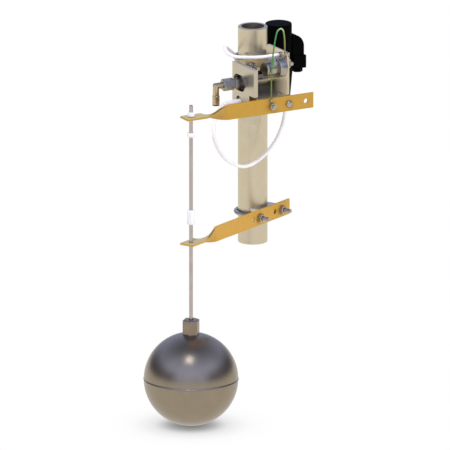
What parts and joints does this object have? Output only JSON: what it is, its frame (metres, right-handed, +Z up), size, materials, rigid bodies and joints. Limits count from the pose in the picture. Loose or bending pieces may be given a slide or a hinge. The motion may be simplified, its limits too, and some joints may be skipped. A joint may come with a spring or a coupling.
{
  "type": "liquid level controller",
  "caption": "Float on a sliding rod tilts a twisted lever on a pilot valve, all clamped to a vertical stub pipe with a second guide arm.",
  "frame": {"origin": "on the stub pipe's axis, at its lower end", "axes": "+Z up along the pipe, +X along the lever away from the float, -Y towards the side that the lever lies on"},
  "size_m": [0.3677, 0.2705, 0.6454],
  "materials": {
    "steel": "satin",
    "yellow_paint": "satin",
    "zinc": "satin",
    "stainless": "satin",
    "float_steel": "polished",
    "white_plastic": "matte",
    "fitting": "satin",
    "tubing": "satin",
    "black_plastic": "matte",
    "green_wire": "satin"
  },
  "bodies": {
    "root": {"mast_pipe": "steel", "guide_saddle": "steel", "housing_saddle": "steel", "front_plate": "steel", "rear_plate": "steel", "back_plate": "steel", "base_block": "steel", "valve_bracket": "steel", "pilot_barrel": "steel", "pilot_flange": "steel", "supply_tube": "steel", "guide_arm": "yellow_paint", "guide_u_bolt": "zinc", "guide_washers": "zinc", "guide_nuts": "zinc", "housing_u_bolt": "zinc", "housing_washers": "zinc", "housing_nuts": "zinc", "pivot_bolt": "zinc", "pivot_washer": "zinc", "plate_earth_lug": "zinc", "earth_screw": "zinc", "base_screw": "zinc", "loop_port": "zinc", "return_port": "zinc", "tube_stub": "white_plastic", "supply_elbow": "fitting", "supply_union": "fitting", "signal_tube": "tubing", "return_tube": "tubing", "solenoid_coil": "black_plastic", "solenoid_body": "black_plastic", "solenoid_plug": "black_plastic", "plug_gland": "black_plastic", "earth_wire": "green_wire"},
    "float": {"float_ball": "float_steel", "float_boss": "stainless", "float_rod": "stainless", "top_collar": "white_plastic", "lift_collar": "white_plastic", "stop_sleeve": "white_plastic"},
    "lever": {"lever_arm": "yellow_paint", "drive_bolt": "zinc", "drive_nut": "zinc", "lever_earth_lug": "zinc"},
    "plunger": {"valve_plunger": "stainless"}
  },
  "joints": [
    {"name": "float_slide", "type": "slide", "parent": "root", "child": "float", "axis": [0, 0, 1], "range_m": [0, 0.016]},
    {"name": "lever_tilt", "type": "hinge", "parent": "root", "child": "lever", "pos_m": [-0.0059, -0.1286, 0.2636], "axis": [0, 1, 0], "range_deg": [0, 5.1], "deforming": ["earth_wire"]},
    {"name": "plunger_slide", "type": "slide", "parent": "root", "child": "plunger", "axis": [0, 0, 1], "range_m": [0, 0.003]}
  ],
  "couplings": [
    {"joint": "lever_tilt", "follows": "float_slide", "rad_per_m": 5.4735},
    {"joint": "plunger_slide", "follows": "float_slide", "ratio": 0.17515}
  ]
}
